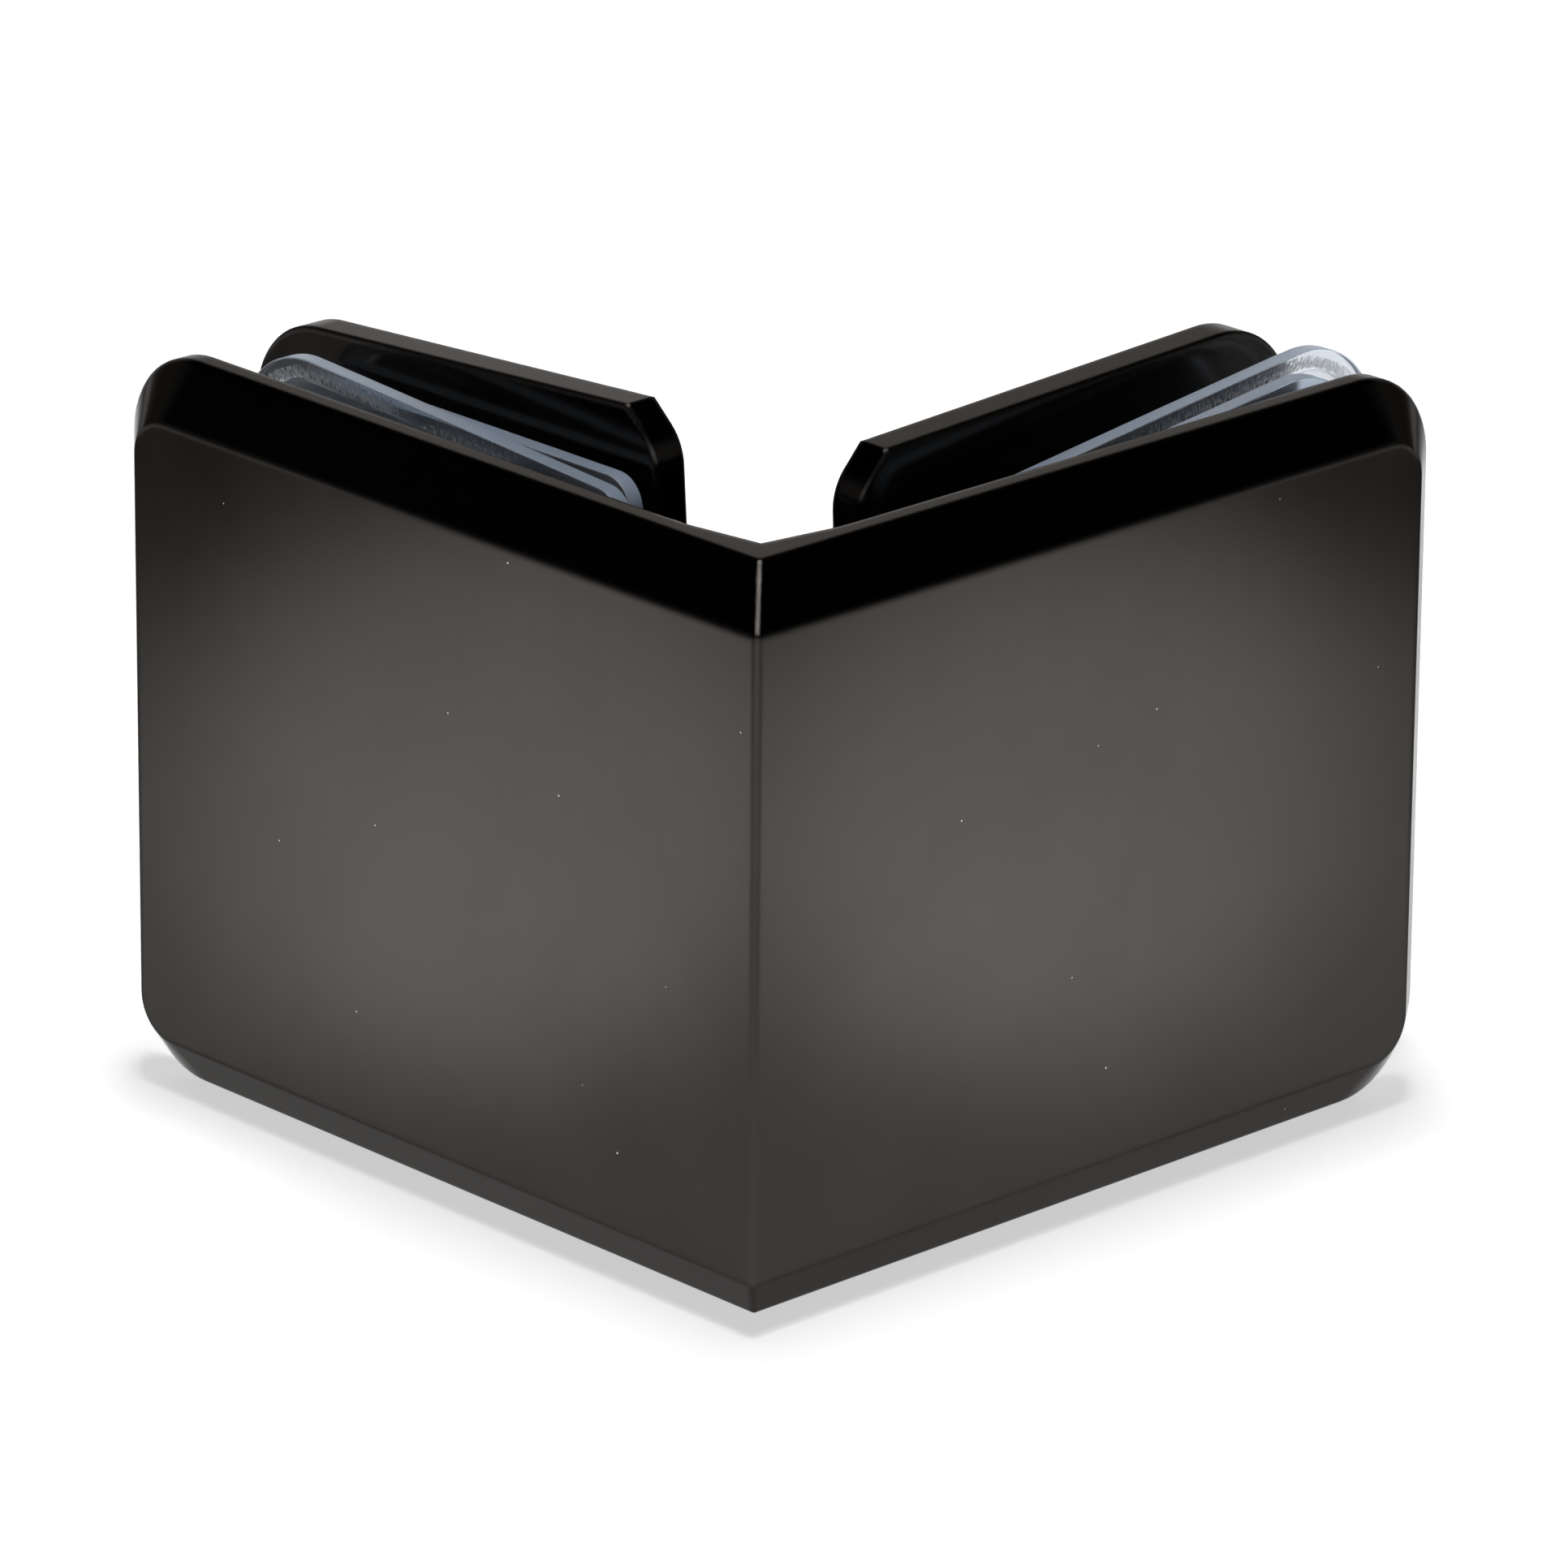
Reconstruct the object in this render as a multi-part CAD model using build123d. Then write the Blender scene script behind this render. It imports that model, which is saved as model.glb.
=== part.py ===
from build123d import *
import math
import os

# 90 degree glass-to-glass corner clamp: a bevelled corner casting with two wings,
# and on each wing a clamp plate, its screw, two soft gaskets and a clear sleeve.
#
# Frame: the origin is at the base, on the line where the two glass seats meet.
# +X runs along the right wing, +Y along the left wing, +Z is up. The room is on
# the +X +Y side. Each wing is drawn as the right one: x along the wing, y away
# from the glass seat into the room. The left one is its mirror image across x = y.

# Driving dimensions, millimetres and degrees
WING = 63.5            # outer corner edge to the end of a wing
HEIGHT = 50.8
WALL = 4.6             # thickness of a wing
EDGE_FLAT = 1.5        # flat strip left round a wing's edge, next to the glass
BEVEL_FACE = 3.7       # width of the bevel measured across the outer face
END_RADIUS = 6.5       # rounding of a wing's two end corners
EDGE_ROUND = 0.35      # rounding of the polished edges on the outer and bevel side
SEAT_ROUND = 0.2       # rounding of the edges next to the glass
FLARE_REACH = 5.9      # the casting thickens into the inner corner: along the seat
FLARE_DEPTH = 0.8      # ... and on the diagonal

SCREW_RADIUS = 3.0     # M6
SCREW_LENGTH = 14.0    # overall, head included
HEAD_RADIUS = 6.0
HEAD_LAND = 0.3        # short straight rim above the cone of the head
SOCKET_FLATS = 4.0     # hexagon socket, across flats
SOCKET_DEPTH = 2.4
SCREW_CLEARANCE = 0.05
SCREW_PROUD = 0.9      # the loose screw's head stands this far above its plate

PLATE_LENGTH = 39.7
PLATE_HEIGHT = 50.4
PLATE_EDGE = 2.5       # flat edge of a clamp plate, next to the glass
PLATE_BEVEL_FACE = 3.1
PLATE_BEVEL_DEPTH = 2.6
PLATE_CUT = 2.6        # cut across the corners at the plate's inner end
PLATE_CUT_BLEND = 3.8  # rounding where the cut runs into the end edge
PLATE_HOLE_RADIUS = 4.0
SINK_RADIUS = 6.6      # countersink at the plate's room face
PLATE_GAP = 9.7        # glass seat to clamp plate
PLATE_MIDDLE = 38.5    # screw axis, measured along the wing

POST_RADIUS = 4.5
POST_LENGTH = 8.0
TAPPED_BELOW_SEAT = 2.2
TIP_CHAMFER = 0.4

SLEEVE_WALL = 0.95
SLEEVE_CLEARANCE = 0.05
SLEEVE_START = 0.7     # glass seat to the sleeve's near end
SLEEVE_LENGTH = 8.7

GASKET_LENGTH = 37.0
GASKET_HEIGHT = 47.0
GASKET_THICKNESS = 1.5
GASKET_HOLE_RADIUS = 11.7
GASKET_END_RADIUS = 6.5
GASKET_INNER_RADIUS = 2.2

# How the loose pieces stand. A tilt raises the wing's end, in degrees. A lift is
# upwards and a shift is towards the wing's end: the play of a plate on its screw
# and of a gasket on its post. A gasket's depth is from the glass seat to its middle.
PLATE_STANCE = {
    "right": {"tilt": 2.3, "lift": 0.52},
    "left": {"tilt": -3.9, "lift": 0.82},
}
GASKET_STANCE = {
    "right": {
        "inner_gasket": {"depth": 5.6, "tilt": 6.9, "shift": 5.7, "lift": 0.7},
        "outer_gasket": {"depth": 3.4, "tilt": 6.4, "shift": 2.4, "lift": 0.0},
    },
    "left": {
        "inner_gasket": {"depth": 8.15, "tilt": -0.3, "shift": 0.0, "lift": -0.5},
        "outer_gasket": {"depth": 6.0, "tilt": 3.5, "shift": 0.1, "lift": 0.5},
    },
}

# Worked-out sizes
WING_END = WING - WALL
BEVEL_DEPTH = WALL - EDGE_FLAT
PLATE_THICKNESS = PLATE_EDGE + PLATE_BEVEL_DEPTH
MID_HEIGHT = HEIGHT / 2
DIAGONAL = Plane(origin=(0, 0, 0), z_dir=(1, -1, 0))


def into_room(y):
    """Plane across the right wing's screw axis, at a depth, facing into the room."""
    return Plane(origin=(PLATE_MIDDLE, y, MID_HEIGHT), x_dir=(1, 0, 0), z_dir=(0, 1, 0))


def cylinder(radius, start, end):
    """Cylinder on the right wing's screw axis, between two depths."""
    return Solid.make_cylinder(radius, end - start, into_room(start))


def bevelled(outline, plane, straight, bevel_face, bevel_depth):
    """Plate with a straight edge and then a bevel, rising from the given plane."""
    slope = math.degrees(math.atan2(bevel_face, bevel_depth))
    base = extrude(plane * outline, straight)
    crown = extrude(plane.offset(straight) * outline, bevel_depth, taper=slope)
    return base + crown


def loose(piece, tilt, lift, shift=0.0):
    """Turn a right-wing piece about its own middle, then move it by its play."""
    turned = piece.rotate(Axis((PLATE_MIDDLE, 0, MID_HEIGHT), (0, 1, 0)), -tilt)
    return Pos(shift, 0, lift) * turned


def wing():
    """Right half of the casting: bevelled wall, cut off on the corner's diagonal."""
    run_past = 20.0
    length = WING_END + run_past
    outline = Pos(WING_END - length / 2, MID_HEIGHT) * Rectangle(length, HEIGHT)
    ends = outline.vertices().group_by(Axis.X)[-1]
    outline = fillet(ends, END_RADIUS)
    wall = bevelled(outline, Plane.XZ, EDGE_FLAT, BEVEL_FACE, BEVEL_DEPTH)
    return split(wall, bisect_by=DIAGONAL, keep=Keep.TOP)


def post():
    """Round post that carries the glass's drilled hole and takes the screw."""
    stud = cylinder(POST_RADIUS, -1.0, POST_LENGTH)
    rim = stud.edges().sort_by(Axis.Y)[-1]
    return stud.chamfer(TIP_CHAMFER, None, [rim])


def tapped_hole():
    return cylinder(SCREW_RADIUS + SCREW_CLEARANCE, -TAPPED_BELOW_SEAT, POST_LENGTH + 1.0)


def in_plane(edge, axis, level):
    """True if the whole edge lies in the plane where that coordinate has that value."""
    box = edge.bounding_box()
    low, high = getattr(box.min, axis), getattr(box.max, axis)
    return abs(low - level) < 0.01 and abs(high - level) < 0.01


def edges_at(piece, depth):
    """Edges that lie at one depth from either wing's glass seat."""
    chosen = [edge for edge in piece.edges() if in_plane(edge, "Y", depth) or in_plane(edge, "X", depth)]
    return ShapeList(chosen)


def mitres(walls):
    """Edges that lie on the corner's diagonal, outside the seats."""
    on_diagonal = [edge for edge in walls.edges() if abs(edge.center().X - edge.center().Y) < 0.01]
    return ShapeList([edge for edge in on_diagonal if edge.center().X < -EDGE_FLAT])


def seat_edges(walls):
    """Edges round both glass seats, without those where the casting thickens."""
    flat = edges_at(walls, 0.0)
    return flat.filter_by(lambda edge: max(edge.center().X, edge.center().Y) > FLARE_REACH + 0.1)


def corner_body():
    right = wing()
    flare = extrude(
        Polygon((0, 0), (FLARE_REACH, 0), (FLARE_DEPTH, FLARE_DEPTH), (0, FLARE_REACH), align=None),
        HEIGHT,
    )
    walls = right + mirror(right, DIAGONAL) + flare
    outer = edges_at(walls, -WALL) + edges_at(walls, -EDGE_FLAT)
    sharp = outer + [edge for edge in mitres(walls) if edge not in outer]
    walls = fillet(ShapeList(sharp), EDGE_ROUND)
    walls = fillet(seat_edges(walls), SEAT_ROUND)
    right_post = post()
    right_hole = tapped_hole()
    body = walls + right_post + mirror(right_post, DIAGONAL)
    return body - right_hole - mirror(right_hole, DIAGONAL)


def clamp_plate():
    """Plate that closes on the glass, bevelled on the room side and countersunk."""
    outline = Rectangle(PLATE_LENGTH, PLATE_HEIGHT)
    outline = chamfer(outline.vertices().group_by(Axis.X)[0], PLATE_CUT)
    outline = fillet(outline.vertices().group_by(Axis.X)[0], PLATE_CUT_BLEND)
    outline = fillet(outline.vertices().group_by(Axis.X)[-1], END_RADIUS)
    plate = bevelled(outline, into_room(PLATE_GAP), PLATE_EDGE, PLATE_BEVEL_FACE, PLATE_BEVEL_DEPTH)
    room_face = PLATE_GAP + PLATE_THICKNESS
    polished = edges_at(plate, room_face) + edges_at(plate, PLATE_GAP + PLATE_EDGE)
    plate = fillet(ShapeList(polished), EDGE_ROUND)
    plate = fillet(edges_at(plate, PLATE_GAP), SEAT_ROUND)
    sink_depth = SINK_RADIUS - PLATE_HOLE_RADIUS
    sink = Solid.make_cone(PLATE_HOLE_RADIUS, SINK_RADIUS, sink_depth, into_room(room_face - sink_depth))
    return plate - cylinder(PLATE_HOLE_RADIUS, PLATE_GAP - 1, room_face + 1) - sink


def screw():
    """Countersunk hexagon socket screw."""
    top = PLATE_GAP + PLATE_THICKNESS + SCREW_PROUD
    cone = HEAD_RADIUS - SCREW_RADIUS
    tip = top - SCREW_LENGTH
    shank = cylinder(SCREW_RADIUS, tip, top - HEAD_LAND - cone)
    shank = shank.chamfer(TIP_CHAMFER, None, [shank.edges().sort_by(Axis.Y)[0]])
    head = Solid.make_cone(SCREW_RADIUS, HEAD_RADIUS, cone, into_room(top - HEAD_LAND - cone))
    land = cylinder(HEAD_RADIUS, top - HEAD_LAND, top)
    socket = extrude(
        into_room(top - SOCKET_DEPTH) * RegularPolygon(SOCKET_FLATS / 2, 6, major_radius=False),
        SOCKET_DEPTH + 1,
    )
    return shank + head + land - socket


def sleeve():
    """Clear tube that keeps the glass off the metal post."""
    bore = POST_RADIUS + SLEEVE_CLEARANCE
    end = SLEEVE_START + SLEEVE_LENGTH
    return cylinder(bore + SLEEVE_WALL, SLEEVE_START, end) - cylinder(bore, SLEEVE_START - 1, end + 1)


def gasket(depth):
    """Soft sheet with a hole much wider than the post, so that it hangs loose."""
    outline = Rectangle(GASKET_LENGTH, GASKET_HEIGHT)
    outline = fillet(outline.vertices().group_by(Axis.X)[0], GASKET_INNER_RADIUS)
    outline = fillet(outline.vertices().group_by(Axis.X)[-1], GASKET_END_RADIUS)
    outline -= Circle(GASKET_HOLE_RADIUS)
    return extrude(into_room(depth - GASKET_THICKNESS / 2) * outline, GASKET_THICKNESS)


def wing_pieces(side):
    """Loose pieces of one wing, all drawn on the right wing."""
    pieces = {"screw": screw(), "sleeve": sleeve()}
    pieces["clamp_plate"] = loose(clamp_plate(), **PLATE_STANCE[side])
    for name, stance in GASKET_STANCE[side].items():
        play = {key: value for key, value in stance.items() if key != "depth"}
        pieces[name] = loose(gasket(stance["depth"]), **play)
    return pieces


def all_parts():
    parts = {"corner_body": corner_body()}
    for side in ("right", "left"):
        for name, piece in wing_pieces(side).items():
            placed = mirror(piece, DIAGONAL) if side == "left" else piece
            parts[f"{side}_{name}"] = placed
    return parts


if __name__ == "__main__":
    os.makedirs("parts", exist_ok=True)
    for node, shape in all_parts().items():
        export_step(shape, f"parts/{node}.step")
        print(node, round(shape.volume, 1))
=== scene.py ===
import math

import bpy
from mathutils import Matrix, Vector


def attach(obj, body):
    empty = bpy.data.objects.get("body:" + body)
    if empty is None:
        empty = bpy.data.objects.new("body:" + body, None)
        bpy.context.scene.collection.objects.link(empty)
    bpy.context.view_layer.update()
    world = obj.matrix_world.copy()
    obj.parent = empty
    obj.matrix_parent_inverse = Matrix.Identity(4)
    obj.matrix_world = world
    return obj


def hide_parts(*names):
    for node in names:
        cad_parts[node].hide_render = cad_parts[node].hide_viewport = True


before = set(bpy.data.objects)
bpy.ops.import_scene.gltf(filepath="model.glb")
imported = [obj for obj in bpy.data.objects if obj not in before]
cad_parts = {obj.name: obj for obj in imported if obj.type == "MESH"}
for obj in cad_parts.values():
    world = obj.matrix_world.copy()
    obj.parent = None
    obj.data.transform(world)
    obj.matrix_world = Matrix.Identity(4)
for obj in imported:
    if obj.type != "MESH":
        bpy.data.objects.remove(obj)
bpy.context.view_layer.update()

# 90 degree glass-to-glass corner clamp. Black polished casting and clamp plates keep their
# CAD meshes; the soft gaskets and the two screws are remade here with their real detail.

MM = 0.001
SIDES = ("right", "left")
HAND = {"right": -1, "left": 1}      # local x points to the corner on the right wing

# Sizes restated from part.py, in millimetres and degrees
PLATE_MIDDLE = 38.5
MID_HEIGHT = 25.4
SCREW_TOP = 15.7          # glass seat to the top of the screw's head
SCREW_LENGTH = 14.0
SOCKET_FLATS = 4.0
SOCKET_DEPTH = 2.4
GASKET_LENGTH = 37.0
GASKET_HEIGHT = 47.0
GASKET_THICKNESS = 1.5
GASKET_HOLE_RADIUS = 11.7
GASKET_END_RADIUS = 6.5
GASKET_INNER_RADIUS = 2.2
GASKET_STANCE = {
    "right_inner_gasket": {"depth": 5.6, "tilt": 6.9, "shift": 5.7, "lift": 0.7},
    "right_outer_gasket": {"depth": 3.4, "tilt": 6.4, "shift": 2.4, "lift": 0.0},
    "left_inner_gasket": {"depth": 8.15, "tilt": -0.3, "shift": 0.0, "lift": -0.5},
    "left_outer_gasket": {"depth": 6.0, "tilt": 3.5, "shift": 0.1, "lift": 0.5},
}
# Bow and twist of each soft sheet, in millimetres at its corners
GASKET_BOW = {
    "right_inner_gasket": (0.10, -0.05),
    "right_outer_gasket": (-0.10, 0.05),
    "left_inner_gasket": (0.10, 0.06),
    "left_outer_gasket": (0.10, -0.06),
}


# ---------------------------------------------------------------- node helpers
def new_material(name):
    material = bpy.data.materials.new(name)
    material.use_nodes = True
    tree = material.node_tree
    tree.nodes.clear()
    output = tree.nodes.new("ShaderNodeOutputMaterial")
    shader = tree.nodes.new("ShaderNodeBsdfPrincipled")
    tree.links.new(shader.outputs[0], output.inputs["Surface"])
    return material, tree, shader


def coordinates(tree, scale=(1, 1, 1), offset=(0, 0, 0), output="Object"):
    source = tree.nodes.new("ShaderNodeTexCoord")
    mapping = tree.nodes.new("ShaderNodeMapping")
    mapping.inputs["Scale"].default_value = scale
    mapping.inputs["Location"].default_value = offset
    tree.links.new(source.outputs[output], mapping.inputs["Vector"])
    return mapping.outputs["Vector"]


def noise(tree, vector, scale, detail=3.0, roughness=0.5, distortion=0.0):
    node = tree.nodes.new("ShaderNodeTexNoise")
    node.inputs["Scale"].default_value = scale
    node.inputs["Detail"].default_value = detail
    node.inputs["Roughness"].default_value = roughness
    node.inputs["Distortion"].default_value = distortion
    tree.links.new(vector, node.inputs["Vector"])
    return node.outputs["Fac"]


def remap(tree, value, low, high, to_low, to_high, smooth=True):
    node = tree.nodes.new("ShaderNodeMapRange")
    node.interpolation_type = "SMOOTHSTEP" if smooth else "LINEAR"
    node.inputs["From Min"].default_value = low
    node.inputs["From Max"].default_value = high
    node.inputs["To Min"].default_value = to_low
    node.inputs["To Max"].default_value = to_high
    tree.links.new(value, node.inputs["Value"])
    return node.outputs["Result"]


def math_node(tree, operation, a, b=None):
    node = tree.nodes.new("ShaderNodeMath")
    node.operation = operation
    for socket, value in zip(node.inputs, (a, b)):
        if value is None:
            continue
        if isinstance(value, (int, float)):
            socket.default_value = value
        else:
            tree.links.new(value, socket)
    return node.outputs[0]


def mix_color(tree, factor, a, b):
    node = tree.nodes.new("ShaderNodeMix")
    node.data_type = "RGBA"
    tree.links.new(factor, node.inputs["Factor"])
    for socket, value in ((node.inputs[6], a), (node.inputs[7], b)):
        if isinstance(value, tuple):
            socket.default_value = value + (1.0,)
        else:
            tree.links.new(value, socket)
    return node.outputs[2]


def bump(tree, height, distance, strength=1.0, normal=None):
    node = tree.nodes.new("ShaderNodeBump")
    node.inputs["Strength"].default_value = strength
    node.inputs["Distance"].default_value = distance
    tree.links.new(height, node.inputs["Height"])
    if normal is not None:
        tree.links.new(normal, node.inputs["Normal"])
    return node.outputs["Normal"]


def soft_edges(tree, radius, low, high):
    """The normal rounded over at edges, and a mask that is 1 on sharp edges and 0 on open faces."""
    bevel = tree.nodes.new("ShaderNodeBevel")
    bevel.samples = 6
    bevel.inputs["Radius"].default_value = radius
    geometry = tree.nodes.new("ShaderNodeNewGeometry")
    dot = tree.nodes.new("ShaderNodeVectorMath")
    dot.operation = "DOT_PRODUCT"
    tree.links.new(bevel.outputs["Normal"], dot.inputs[0])
    tree.links.new(geometry.outputs["Normal"], dot.inputs[1])
    return bevel.outputs["Normal"], remap(tree, dot.outputs["Value"], low, high, 1.0, 0.0)


def dust(tree, vector, scale, size, share):
    """Sparse specks: small balls at the middle of a share of the cells."""
    cells = tree.nodes.new("ShaderNodeTexVoronoi")
    cells.feature = "F1"
    cells.inputs["Scale"].default_value = scale
    tree.links.new(vector, cells.inputs["Vector"])
    separate = tree.nodes.new("ShaderNodeSeparateColor")
    tree.links.new(cells.outputs["Color"], separate.inputs["Color"])
    near = remap(tree, cells.outputs["Distance"], size * 0.4, size, 1.0, 0.0)
    chosen = math_node(tree, "LESS_THAN", separate.outputs["Red"], share)
    return math_node(tree, "MULTIPLY", near, chosen)


# ---------------------------------------------------------------- materials
def black_chrome(name, offset):
    """Polished casting under a dark chrome coat, with wiping haze, hairlines and dust."""
    material, tree, shader = new_material(name)
    place = coordinates(tree, offset=offset)
    haze = noise(tree, place, 55, detail=4, roughness=0.6, distortion=0.4)
    streaky = coordinates(tree, scale=(1.0, 1.0, 0.12), offset=offset)
    wiped = noise(tree, streaky, 1400, detail=3)
    hair = coordinates(tree, scale=(0.05, 0.05, 1.0), offset=offset)
    hairlines = remap(tree, noise(tree, hair, 5200, detail=2), 0.60, 0.72, 0.0, 1.0)
    specks = dust(tree, place, 300, 0.030, 0.75)
    rounded, worn = soft_edges(tree, 0.55 * MM, 0.90, 0.995)
    worn = math_node(tree, "MULTIPLY", worn, remap(tree, haze, 0.35, 0.65, 0.35, 1.0))

    cloud = remap(tree, haze, 0.3, 0.7, 0.0, 1.0)
    coat = mix_color(tree, cloud, (0.0410, 0.0383, 0.0358), (0.0460, 0.0432, 0.0407))
    rubbed = mix_color(tree, worn, coat, (0.070, 0.065, 0.061))
    color = mix_color(tree, specks, rubbed, (0.75, 0.74, 0.72))
    tree.links.new(color, shader.inputs["Base Color"])
    shader.inputs["Metallic"].default_value = 1.0
    shader.inputs["Specular Tint"].default_value = (0.478, 0.475, 0.473, 1.0)

    polish = remap(tree, haze, 0.3, 0.7, 0.115, 0.165)
    wipes = remap(tree, wiped, 0.3, 0.7, -0.012, 0.012, smooth=False)
    polish = math_node(tree, "ADD", polish, wipes)
    polish = math_node(tree, "ADD", polish, math_node(tree, "MULTIPLY", hairlines, 0.02))
    polish = math_node(tree, "ADD", polish, math_node(tree, "MULTIPLY", specks, 0.4))
    tree.links.new(polish, shader.inputs["Roughness"])

    peel = noise(tree, place, 260, detail=2)
    grain = noise(tree, place, 4200, detail=2)
    normal = bump(tree, peel, 0.0012 * MM, normal=rounded)
    normal = bump(tree, grain, 0.00015 * MM, normal=normal)
    normal = bump(tree, specks, 0.02 * MM, normal=normal)
    tree.links.new(normal, shader.inputs["Normal"])
    return material


def clear_vinyl(name, offset):
    """Soft clear sheet: faintly blue, hazy where it was cut and handled."""
    material, tree, shader = new_material(name)
    along = coordinates(tree, offset=offset, output="UV")
    split = tree.nodes.new("ShaderNodeSeparateXYZ")
    tree.links.new(along, split.inputs["Vector"])
    place = coordinates(tree, offset=offset)
    cloudy = noise(tree, place, 130, detail=4, distortion=0.8)
    from_edge = split.outputs["Y"]
    band_outside = remap(tree, from_edge, 0.55, 0.80, 0.0, 1.0)
    band_inside = remap(tree, from_edge, 1.05, 1.45, 1.0, 0.0)
    band = math_node(tree, "MULTIPLY", band_outside, band_inside)
    cuts = coordinates(tree, scale=(5.0, 1.2, 1.0), offset=offset, output="UV")
    cut_marks = remap(tree, noise(tree, cuts, 1.0, detail=4, roughness=0.65), 0.47, 0.60, 0.0, 1.0)
    cut_marks = math_node(tree, "MULTIPLY", cut_marks, band)
    patchy = remap(tree, noise(tree, place, 62, detail=2), 0.45, 0.60, 0.0, 1.0)
    frosted = math_node(tree, "MULTIPLY", cut_marks, patchy)

    cut_edge = remap(tree, from_edge, 0.0, 0.10, 1.0, 0.0)
    cloud = remap(tree, cloudy, 0.3, 0.7, 0.0, 1.0)
    tint = mix_color(tree, cloud, (0.78, 0.86, 0.96), (0.87, 0.92, 0.98))
    tint = mix_color(tree, frosted, tint, (0.97, 0.98, 1.0))
    tint = mix_color(tree, cut_edge, tint, (0.38, 0.46, 0.58))
    tree.links.new(tint, shader.inputs["Base Color"])
    clear = remap(tree, cloudy, 0.3, 0.7, 0.90, 0.83)
    clear = math_node(tree, "SUBTRACT", clear, math_node(tree, "MULTIPLY", frosted, 0.5))
    clear = math_node(tree, "SUBTRACT", clear, math_node(tree, "MULTIPLY", cut_edge, 0.45))
    tree.links.new(clear, shader.inputs["Transmission Weight"])
    shader.inputs["IOR"].default_value = 1.47
    rough = remap(tree, cloudy, 0.3, 0.7, 0.09, 0.15)
    rough = math_node(tree, "ADD", rough, math_node(tree, "MULTIPLY", frosted, 0.45))
    rough = math_node(tree, "ADD", rough, math_node(tree, "MULTIPLY", cut_edge, 0.25))
    tree.links.new(rough, shader.inputs["Roughness"])
    ripple = noise(tree, place, 150, detail=2)
    normal = bump(tree, ripple, 0.012 * MM)
    normal = bump(tree, frosted, 0.02 * MM, normal=normal)
    tree.links.new(normal, shader.inputs["Normal"])
    return material


def clear_sleeve():
    """Turned clear tube: glossy with faint rings from the lathe and a little haze."""
    material, tree, shader = new_material("sleeve_clear")
    place = coordinates(tree)
    cloudy = noise(tree, place, 420, detail=4)
    turned = noise(tree, coordinates(tree, scale=(1.0, 1.0, 0.04)), 3600, detail=2)
    tint = mix_color(tree, cloudy, (0.86, 0.90, 0.93), (0.95, 0.97, 0.98))
    tree.links.new(tint, shader.inputs["Base Color"])
    shader.inputs["Transmission Weight"].default_value = 0.9
    shader.inputs["IOR"].default_value = 1.49
    rough = remap(tree, cloudy, 0.3, 0.7, 0.05, 0.16)
    tree.links.new(rough, shader.inputs["Roughness"])
    tree.links.new(bump(tree, turned, 0.01 * MM), shader.inputs["Normal"])
    return material


def dark_steel():
    """Blackened steel screw: turned rings on the head, wear on the thread's crests."""
    material, tree, shader = new_material("screw_dark_steel")
    place = coordinates(tree)
    split = tree.nodes.new("ShaderNodeSeparateXYZ")
    tree.links.new(place, split.inputs["Vector"])
    x_squared = math_node(tree, "POWER", split.outputs["X"], 2.0)
    y_squared = math_node(tree, "POWER", split.outputs["Y"], 2.0)
    radius = math_node(tree, "SQRT", math_node(tree, "ADD", x_squared, y_squared))
    combine = tree.nodes.new("ShaderNodeCombineXYZ")
    tree.links.new(radius, combine.inputs["X"])
    tree.links.new(split.outputs["Z"], combine.inputs["Y"])
    rings = noise(tree, combine.outputs["Vector"], 9000, detail=3)
    cloudy = noise(tree, place, 330, detail=4)
    rounded, worn = soft_edges(tree, 0.12 * MM, 0.75, 0.98)
    worn = math_node(tree, "MULTIPLY", worn, remap(tree, cloudy, 0.35, 0.65, 0.25, 1.0))
    base = mix_color(tree, cloudy, (0.085, 0.083, 0.082), (0.13, 0.127, 0.124))
    color = mix_color(tree, worn, base, (0.34, 0.33, 0.32))
    tree.links.new(color, shader.inputs["Base Color"])
    shader.inputs["Metallic"].default_value = 1.0
    rough = remap(tree, cloudy, 0.3, 0.7, 0.24, 0.36)
    rough = math_node(tree, "ADD", rough, math_node(tree, "MULTIPLY", rings, 0.08))
    tree.links.new(rough, shader.inputs["Roughness"])
    tree.links.new(bump(tree, rings, 0.006 * MM, normal=rounded), shader.inputs["Normal"])
    return material


def floor_material():
    """Plain white light table, dimmer in a soft band on each side of the object."""
    material, tree, shader = new_material("studio_floor")
    place = coordinates(tree)
    across = tree.nodes.new("ShaderNodeVectorMath")
    across.operation = "DOT_PRODUCT"
    across.inputs[1].default_value = ACROSS
    tree.links.new(place, across.inputs[0])
    middle = CAMERA_AIM.dot(ACROSS)
    beside = math_node(tree, "ABSOLUTE", math_node(tree, "SUBTRACT", across.outputs["Value"], middle))
    near = remap(tree, beside, 0.05, 0.175, GLOW, 0.06)
    far = remap(tree, beside, 0.205, 0.29, 0.0, 0.84)
    glow = math_node(tree, "ADD", near, far)
    shader.inputs["Emission Color"].default_value = (1.0, 1.0, 1.0, 1.0)
    tree.links.new(glow, shader.inputs["Emission Strength"])
    tooth = noise(tree, place, 700, detail=3)
    tone = mix_color(tree, noise(tree, place, 4, detail=2), (0.86, 0.86, 0.86), (0.88, 0.88, 0.88))
    tree.links.new(tone, shader.inputs["Base Color"])
    shader.inputs["Roughness"].default_value = 0.9
    shader.inputs["Specular IOR Level"].default_value = 0.2
    tree.links.new(bump(tree, tooth, 0.02 * MM), shader.inputs["Normal"])
    return material


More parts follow.
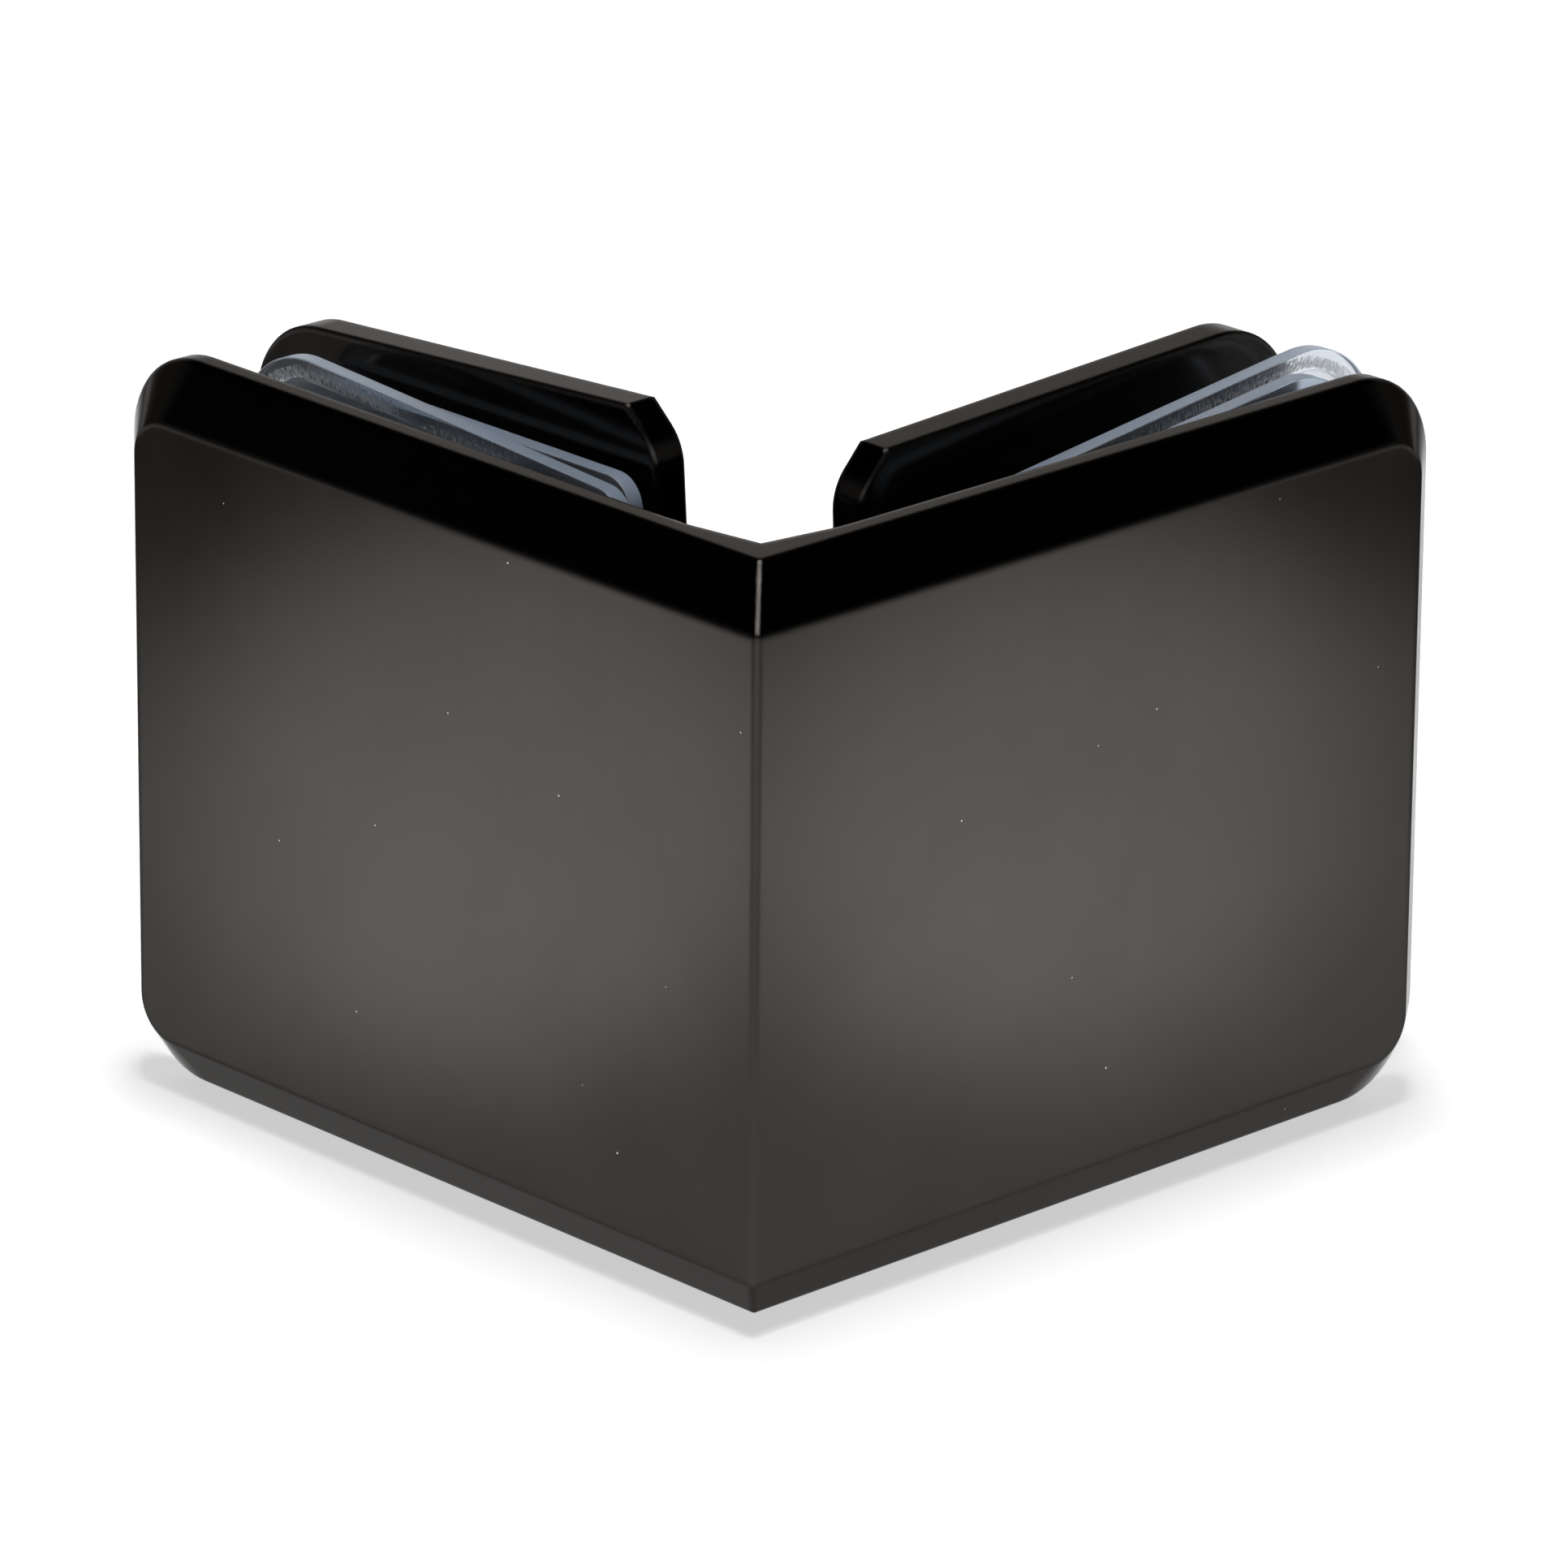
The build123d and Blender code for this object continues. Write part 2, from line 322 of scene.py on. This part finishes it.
# ---------------------------------------------------------------- geometry helpers
def mesh_object(name, vertices, faces, material, matrix, uv=None, sharp_above=35.0):
    mesh = bpy.data.meshes.new(name)
    mesh.from_pydata(vertices, [], faces)
    mesh.validate()
    if uv is not None:
        layer = mesh.uv_layers.new(name="Along")
        for loop in mesh.loops:
            layer.data[loop.index].uv = uv[loop.vertex_index]
    mesh.shade_smooth()
    mesh.set_sharp_from_angle(angle=math.radians(sharp_above))
    mesh.materials.append(material)
    piece = bpy.data.objects.new(name, mesh)
    bpy.context.scene.collection.objects.link(piece)
    piece.matrix_world = matrix
    return piece


def wing_frame(side, along, depth, tilt=0.0, lift=0.0):
    """Right-handed frame: x along the wing, y up, z into the room; a tilt raises the wing's end."""
    outward = Vector((1, 0, 0)) if side == "right" else Vector((0, 1, 0))
    room = Vector((0, 1, 0)) if side == "right" else Vector((1, 0, 0))
    up = Vector((0, 0, 1))
    turn = math.radians(tilt)
    x_axis = outward * math.cos(turn) + up * math.sin(turn)
    y_axis = up * math.cos(turn) - outward * math.sin(turn)
    place = outward * along + room * depth + up * (MID_HEIGHT + lift)
    matrix = Matrix.Identity(4)
    for column, vector in enumerate((x_axis * HAND[side], y_axis, room, place * MM)):
        for row in range(3):
            matrix[row][column] = vector[row]
    return matrix


def bridge(rings, count):
    """Quads between rings of the same count, each ring closed on itself."""
    faces = []
    for ring in range(rings - 1):
        here = ring * count
        there = here + count
        for i in range(count):
            j = (i + 1) % count
            faces.append((here + i, here + j, there + j, there + i))
    return faces


# ---------------------------------------------------------------- gaskets
def outline_radius(angle, inset):
    """Distance from the middle to the gasket's outline, moved inwards by an inset."""
    half_x = GASKET_LENGTH / 2 - inset
    half_y = GASKET_HEIGHT / 2 - inset
    dx = math.cos(angle)
    dy = math.sin(angle)
    corner = (GASKET_END_RADIUS if dx > 0 else GASKET_INNER_RADIUS) - inset
    corner = max(corner, 0.2)
    reach = min(half_x / max(abs(dx), 1e-9), half_y / max(abs(dy), 1e-9))
    px = abs(dx) * reach
    py = abs(dy) * reach
    cx = half_x - corner
    cy = half_y - corner
    if px > cx and py > cy:
        along = abs(dx) * cx + abs(dy) * cy
        beside = cx * cx + cy * cy - corner * corner
        reach = along + math.sqrt(max(along * along - beside, 0.0))
    return reach


def outline_angles(count):
    """Angles spread by arc length round the outline, so that the corners stay round."""
    fine = 2880
    points = []
    for i in range(fine + 1):
        angle = 2 * math.pi * i / fine - math.pi / 2
        reach = outline_radius(angle, 0.0)
        points.append((angle, reach * math.cos(angle), reach * math.sin(angle)))
    lengths = [0.0]
    for before, after in zip(points, points[1:]):
        lengths.append(lengths[-1] + math.hypot(after[1] - before[1], after[2] - before[2]))
    angles = []
    spot = 0
    for i in range(count):
        goal = lengths[-1] * i / count
        while lengths[spot + 1] < goal:
            spot += 1
        share = (goal - lengths[spot]) / (lengths[spot + 1] - lengths[spot])
        angles.append(points[spot][0] + share * (points[spot + 1][0] - points[spot][0]))
    return angles, lengths[-1]


def gasket(name, material, stance, bow, twist):
    """Sheet with a moulded rim round its outline and round its hole."""
    count = 320
    angles, around = outline_angles(count)
    # With its bow and twist the sheet keeps within the thickness of the solid it stands for
    half = GASKET_THICKNESS / 2 - 0.15
    field = 0.44
    # (inset from the outline, half thickness), the outer rim from its cut edge inwards
    rim = [(0.0, 0.50), (0.03, 0.56), (0.10, half), (0.48, half), (0.95, half)]
    rim += [(1.15, 0.57), (1.35, 0.49), (1.55, field), (1.95, field)]
    # (distance from the hole's edge, half thickness), the hole's rim outwards
    eye = [(1.5, field), (1.1, field), (0.9, 0.49), (0.7, 0.57), (0.5, half)]
    eye += [(0.10, half), (0.03, 0.56), (0.0, 0.50)]

    def profile():
        for inset, thick in rim:
            yield lambda angle, inset=inset: outline_radius(angle, inset), thick
        for step in range(1, 6):
            share = step / 6
            yield lambda angle, share=share: (
                outline_radius(angle, rim[-1][0]) * (1 - share)
                + (GASKET_HOLE_RADIUS + eye[0][0]) * share
            ), field
        for gap, thick in eye:
            yield lambda angle, gap=gap: GASKET_HOLE_RADIUS + gap, thick

    front = list(profile())
    loops = front + [(reach, -thick) for reach, thick in reversed(front)]
    side = name.split("_")[0]
    vertices = []
    uv = []
    for reach, height in loops:
        for i, angle in enumerate(angles):
            distance = reach(angle)
            x = distance * math.cos(angle)
            y = distance * math.sin(angle)
            u = 2 * x / GASKET_LENGTH
            v = 2 * y / GASKET_HEIGHT
            bend = bow * (0.5 - u * u) + twist * u * v + 0.03 * math.sin(5.0 * v + 1.3 * u)
            vertices.append((x * MM * HAND[side], y * MM, (height + bend) * MM))
            edge = outline_radius(angle, 0.0) - distance
            uv.append((around * i / count, edge))
    rings = len(loops)
    faces = bridge(rings, count)
    last = (rings - 1) * count
    for i in range(count):
        j = (i + 1) % count
        faces.append((last + i, last + j, j, i))
    if side == "right":
        faces = [tuple(reversed(face)) for face in faces]
    along = PLATE_MIDDLE + stance["shift"]
    matrix = wing_frame(side, along, stance["depth"], stance["tilt"], stance["lift"])
    return mesh_object(name + "_soft", vertices, faces, material, matrix, uv=uv, sharp_above=25)


# ---------------------------------------------------------------- screws
def hexagon_radius(angle, flats):
    sector = math.radians(60)
    return flats / 2 / math.cos((angle % sector) - sector / 2)


def thread_radius(angle, z, start, end):
    """M6 coarse thread, cut shallow so that it turns freely in a plain bore."""
    major = 2.95
    depth = 0.52
    phase = (z - angle / (2 * math.pi)) % 1.0
    ridge = 1.0 - abs(2 * phase - 1.0)
    shape = min(max((ridge - 0.16) / 0.68, 0.0), 1.0)
    fade = min(max((start - z) / 0.8, 0.0), 1.0) * min(max((z - end) / 0.5, 0.0), 1.0)
    root = major - depth
    return root + depth * (shape * fade + (1.0 - fade) * 0.75)


def screw(side, material):
    """Countersunk hexagon socket screw, local z along its axis with the head's top at 0."""
    count = 96
    angles = [2 * math.pi * i / count for i in range(count)]
    flat = SOCKET_FLATS

    def round_ring(radius, z):
        return [(radius * math.cos(a), radius * math.sin(a), z) for a in angles]

    def hex_ring(flats, z):
        radii = [hexagon_radius(a, flats) for a in angles]
        return [(r * math.cos(a), r * math.sin(a), z) for r, a in zip(radii, angles)]

    rings = [round_ring(0.4, -SOCKET_DEPTH - 0.42), round_ring(1.6, -SOCKET_DEPTH - 0.08)]
    rings += [hex_ring(flat - 0.10, -SOCKET_DEPTH), hex_ring(flat, -SOCKET_DEPTH + 0.06)]
    rings += [hex_ring(flat, -SOCKET_DEPTH / 2), hex_ring(flat, -0.26)]
    socket_rim = [(2.36, -0.07), (2.46, 0.0), (2.56, 0.0)]
    head = [(4.0, 0.0), (5.52, 0.0), (5.62, 0.0), (5.82, -0.03), (5.94, -0.12)]
    cone = [(5.96, -0.27), (5.90, -0.36), (4.4, -1.86), (3.06, -3.2), (2.96, -3.36)]
    rings += [round_ring(radius, z) for radius, z in socket_rim + head + cone]
    thread_start = -3.6
    thread_end = -SCREW_LENGTH + 0.45
    steps = int((thread_start - thread_end) / 0.11)
    for step in range(steps + 1):
        z = thread_start + (thread_end - thread_start) * step / steps
        radii = [thread_radius(a, z, thread_start, thread_end) for a in angles]
        rings.append([(r * math.cos(a), r * math.sin(a), z) for r, a in zip(radii, angles)])
    tip = [(2.72, 0.28), (2.46, 0.04), (2.3, 0.0)]
    rings += [round_ring(radius, z - SCREW_LENGTH) for radius, z in tip]
    vertices = [tuple(c * MM for c in point) for ring in rings for point in ring]
    faces = bridge(len(rings), count)
    bottom = len(vertices)
    vertices.append((0, 0, (-SOCKET_DEPTH - 0.55) * MM))
    vertices.append((0, 0, -SCREW_LENGTH * MM))
    last = (len(rings) - 1) * count
    for i in range(count):
        j = (i + 1) % count
        faces.append((bottom, j, i))
        faces.append((bottom + 1, last + i, last + j))
    faces = [tuple(reversed(face)) for face in faces]
    matrix = wing_frame(side, PLATE_MIDDLE, SCREW_TOP)
    return mesh_object(f"{side}_screw_threaded", vertices, faces, material, matrix, sharp_above=30)


# ---------------------------------------------------------------- the object
def dress(node, material):
    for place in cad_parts[node].material_slots:
        place.material = material


def build_object():
    body = black_chrome("body_black_chrome", (0.0, 0.0, 0.0))
    plate = black_chrome("plate_black_chrome", (0.31, 0.17, 0.23))
    sleeve = clear_sleeve()
    steel = dark_steel()
    dress("corner_body", body)
    for side in SIDES:
        dress(f"{side}_clamp_plate", plate)
        dress(f"{side}_sleeve", sleeve)
        piece = screw(side, steel)
        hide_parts(f"{side}_screw")
        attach(piece, f"{side}_screw")
    for number, (node, stance) in enumerate(GASKET_STANCE.items()):
        vinyl = clear_vinyl(f"vinyl_{node}", (0.4 + 3.0 * number, 0.0, 0.0))
        piece = gasket(node, vinyl, stance, *GASKET_BOW[node])
        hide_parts(node)
        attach(piece, f"{node}_body")


# ---------------------------------------------------------------- the studio
CAMERA_FORWARD = Vector((0.64586, 0.68095, -0.34520)).normalized()
CAMERA_AIM = Vector((18.4, 17.1, 26.0)) * MM
CAMERA_DISTANCE = 0.701
CAMERA_ROLL = math.radians(0.484)
ACROSS = CAMERA_FORWARD.cross(Vector((0, 0, 1))).normalized()
AWAY = Vector((0, 0, 1)).cross(ACROSS).normalized()


def place_camera():
    raised = ACROSS.cross(CAMERA_FORWARD)
    right = ACROSS * math.cos(CAMERA_ROLL) + raised * math.sin(CAMERA_ROLL)
    up = right.cross(CAMERA_FORWARD)
    data = bpy.data.cameras.new("photo_camera")
    data.sensor_width = 36.0
    data.lens = 246.5
    data.clip_start = 0.01
    data.clip_end = 50.0
    camera = bpy.data.objects.new("photo_camera", data)
    bpy.context.scene.collection.objects.link(camera)
    matrix = Matrix.Identity(4)
    place = CAMERA_AIM - CAMERA_FORWARD * CAMERA_DISTANCE
    for column, vector in enumerate((right, up, -CAMERA_FORWARD, place)):
        for row in range(3):
            matrix[row][column] = vector[row]
    camera.matrix_world = matrix
    bpy.context.scene.camera = camera


GLOW = 0.53               # brightness of the light table under the object
POOL_HEIGHT = 0.30        # lamps above the floor, in metres
LAMP_HEIGHT = 0.55


def floor_point(across, away, height):
    middle = Vector((CAMERA_AIM.x, CAMERA_AIM.y, 0.0))
    return middle + ACROSS * across + AWAY * away + Vector((0, 0, height))


def area_light(name, place, target, size, power, spread):
    data = bpy.data.lights.new(name, "AREA")
    data.shape = "RECTANGLE"
    data.size, data.size_y = size
    data.energy = power
    data.spread = math.radians(spread)
    lamp = bpy.data.objects.new(name, data)
    bpy.context.scene.collection.objects.link(lamp)
    z_axis = (place - target).normalized()
    y_axis = (AWAY - z_axis * AWAY.dot(z_axis)).normalized()
    x_axis = y_axis.cross(z_axis)
    matrix = Matrix.Identity(4)
    for column, vector in enumerate((x_axis, y_axis, z_axis, place)):
        for row in range(3):
            matrix[row][column] = vector[row]
    lamp.matrix_world = matrix


def pool_light(name, across, away, lean, power, cone, stretch):
    """Soft oval pool on the floor beside the object, long side across and a little askew."""
    data = bpy.data.lights.new(name, "SPOT")
    data.energy = power
    data.spot_size = math.radians(cone)
    data.spot_blend = 0.75
    data.shadow_soft_size = 0.010
    lamp = bpy.data.objects.new(name, data)
    bpy.context.scene.collection.objects.link(lamp)
    place = floor_point(across, away, POOL_HEIGHT)
    matrix = Matrix.Identity(4)
    columns = ((ACROSS + AWAY * lean) * stretch, AWAY, Vector((0, 0, 1)), place)
    for column, vector in enumerate(columns):
        for row in range(3):
            matrix[row][column] = vector[row]
    lamp.matrix_world = matrix


def build_studio():
    mesh = bpy.data.meshes.new("studio_floor")
    half = 3.0
    low = -0.00002
    corners = [(-half, -half, low), (half, -half, low), (half, half, low), (-half, half, low)]
    mesh.from_pydata(corners, [], [(0, 1, 2, 3)])
    mesh.materials.append(floor_material())
    floor = bpy.data.objects.new("studio_floor", mesh)
    bpy.context.scene.collection.objects.link(floor)

    top = floor_point(0.0, 0.05, LAMP_HEIGHT)
    area_light("overhead_soft", top, floor_point(0.0, 0.05, 0.0), (0.10, 0.95), 0.40, 42.0)
    pool_light("pool_right", 0.106, -0.0155, 0.10, 6.7, 11.4, 2.5)
    pool_light("pool_left", -0.107, -0.0070, -0.13, 6.7, 11.4, 2.5)

    world = bpy.data.worlds.new("studio_world")
    bpy.context.scene.world = world
    world.use_nodes = True
    tree = world.node_tree
    background = tree.nodes["Background"]
    source = tree.nodes.new("ShaderNodeTexCoord")
    split = tree.nodes.new("ShaderNodeSeparateXYZ")
    tree.links.new(source.outputs["Generated"], split.inputs["Vector"])
    across = tree.nodes.new("ShaderNodeVectorMath")
    across.operation = "DOT_PRODUCT"
    across.inputs[1].default_value = ACROSS
    tree.links.new(source.outputs["Generated"], across.inputs[0])
    ahead = remap(tree, math_node(tree, "ABSOLUTE", across.outputs["Value"]), 0.30, 0.72, 1.30, 0.12)
    low = remap(tree, split.outputs["Z"], 0.36, 0.60, 1.0, 0.01)
    background.inputs["Color"].default_value = (1.0, 0.985, 0.97, 1.0)
    tree.links.new(math_node(tree, "MULTIPLY", ahead, low), background.inputs["Strength"])
    bpy.context.scene.view_settings.view_transform = "Standard"


place_camera()
build_object()
build_studio()

bpy.context.view_layer.update()
